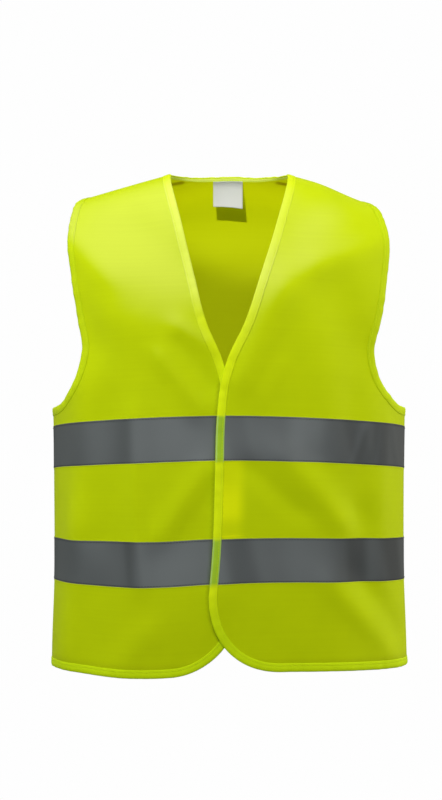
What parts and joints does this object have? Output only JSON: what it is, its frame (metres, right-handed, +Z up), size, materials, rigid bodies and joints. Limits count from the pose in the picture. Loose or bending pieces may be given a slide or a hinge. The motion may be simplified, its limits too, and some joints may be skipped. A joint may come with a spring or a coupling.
{
  "type": "safety vest",
  "caption": "Sleeveless high-visibility vest with reflective bands, bound edges and a hook-and-loop front closure, filled out as worn and open at neck, armholes and hem.",
  "frame": {"origin": "midway between the wearer's shoulders, level with the highest points of the neck edge, where the shoulders carry the vest", "axes": "+Z up; the front faces -Y; the wearer's left is at +X"},
  "size_m": [0.4261, 0.2646, 0.5936],
  "materials": {
    "hi_vis_fabric": "fluorescent yellow warp-knit polyester, soft sheen",
    "binding_tape": "fluorescent yellow woven binding, matt",
    "reflective_tape": "grey retroreflective tape, satin",
    "hook_and_loop": "fluorescent yellow hook and loop, matt",
    "label_fabric": "white woven satin, bare"
  },
  "bodies": {
    "root": {"back_panel": "hi_vis_fabric", "front_panel_left": "hi_vis_fabric", "front_panel_right": "hi_vis_fabric", "front_binding_left": "binding_tape", "front_binding_right": "binding_tape", "back_neck_binding": "binding_tape", "back_hem_binding": "binding_tape", "armhole_binding_front_left": "binding_tape", "armhole_binding_front_right": "binding_tape", "armhole_binding_back_left": "binding_tape", "armhole_binding_back_right": "binding_tape", "upper_band_left": "reflective_tape", "upper_band_right": "reflective_tape", "upper_band_back": "reflective_tape", "lower_band_left": "reflective_tape", "lower_band_right": "reflective_tape", "lower_band_back": "reflective_tape", "closure_hook": "hook_and_loop", "closure_loop": "hook_and_loop", "neck_label": "label_fabric"}
  },
  "joints": []
}
